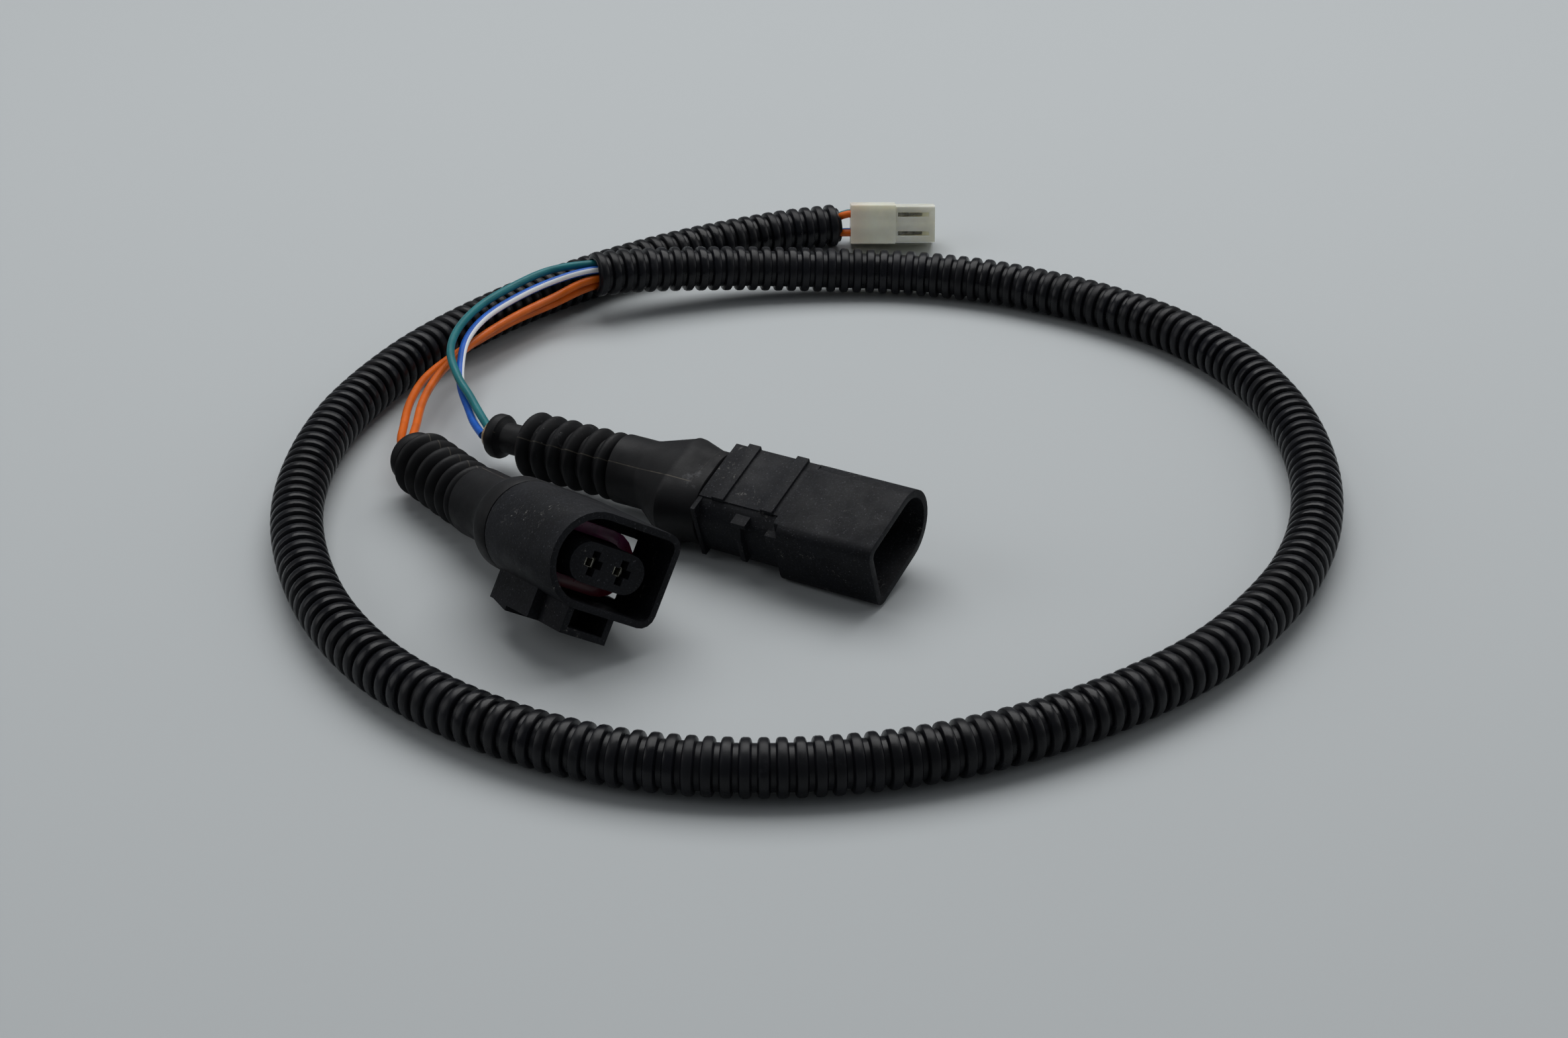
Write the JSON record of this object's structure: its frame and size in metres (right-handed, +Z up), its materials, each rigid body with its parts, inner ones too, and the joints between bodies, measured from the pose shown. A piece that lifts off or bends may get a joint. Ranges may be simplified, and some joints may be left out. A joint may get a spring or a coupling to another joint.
{
  "type": "wiring harness",
  "caption": "Wiring harness: wires in a looped corrugated conduit that end in a sealed socket connector, a sealed plug connector and a small white connector.",
  "frame": {"origin": "on the surface that the harness lies on, under the centre of the box around its three connectors and boots", "axes": "+Z up from the surface; +Y from the two black connectors towards the white connector; +X towards the conduit's loop, the side that the connectors' mating ends point to"},
  "size_m": [0.183, 0.2009, 0.0255],
  "materials": {
    "conduit": "dark grey-black ribbed plastic, slightly glossy",
    "teal_insulation": "smooth teal insulation",
    "blue_insulation": "smooth blue insulation with a white stripe",
    "orange_insulation": "smooth orange insulation",
    "boot_rubber": "matte black moulded rubber",
    "housing": "matte dark grey-black moulded plastic, finely speckled",
    "seal": "smooth purple silicone",
    "sealant": "translucent brownish sealant",
    "white_housing": "translucent off-white moulded plastic",
    "contact": "tinned stamped metal"
  },
  "bodies": {
    "root": {"corrugated_conduit": "conduit", "teal_wire": "teal_insulation", "blue_striped_wire": "blue_insulation", "orange_wire_1": "orange_insulation", "orange_wire_2": "orange_insulation", "rear_orange_wire_1": "orange_insulation", "rear_orange_wire_2": "orange_insulation", "rear_teal_wire": "teal_insulation", "rear_blue_striped_wire": "blue_insulation", "socket_housing": "housing", "socket_seal_ring": "seal", "socket_contact_1": "contact", "socket_contact_2": "contact", "socket_boot": "boot_rubber", "plug_housing": "housing", "plug_blade_1": "contact", "plug_blade_2": "contact", "plug_boot": "boot_rubber", "plug_boot_sealant": "sealant", "white_connector_housing": "white_housing", "white_connector_pin_1": "contact", "white_connector_pin_2": "contact", "white_connector_pin_3": "contact", "white_connector_pin_4": "contact"}
  },
  "joints": []
}
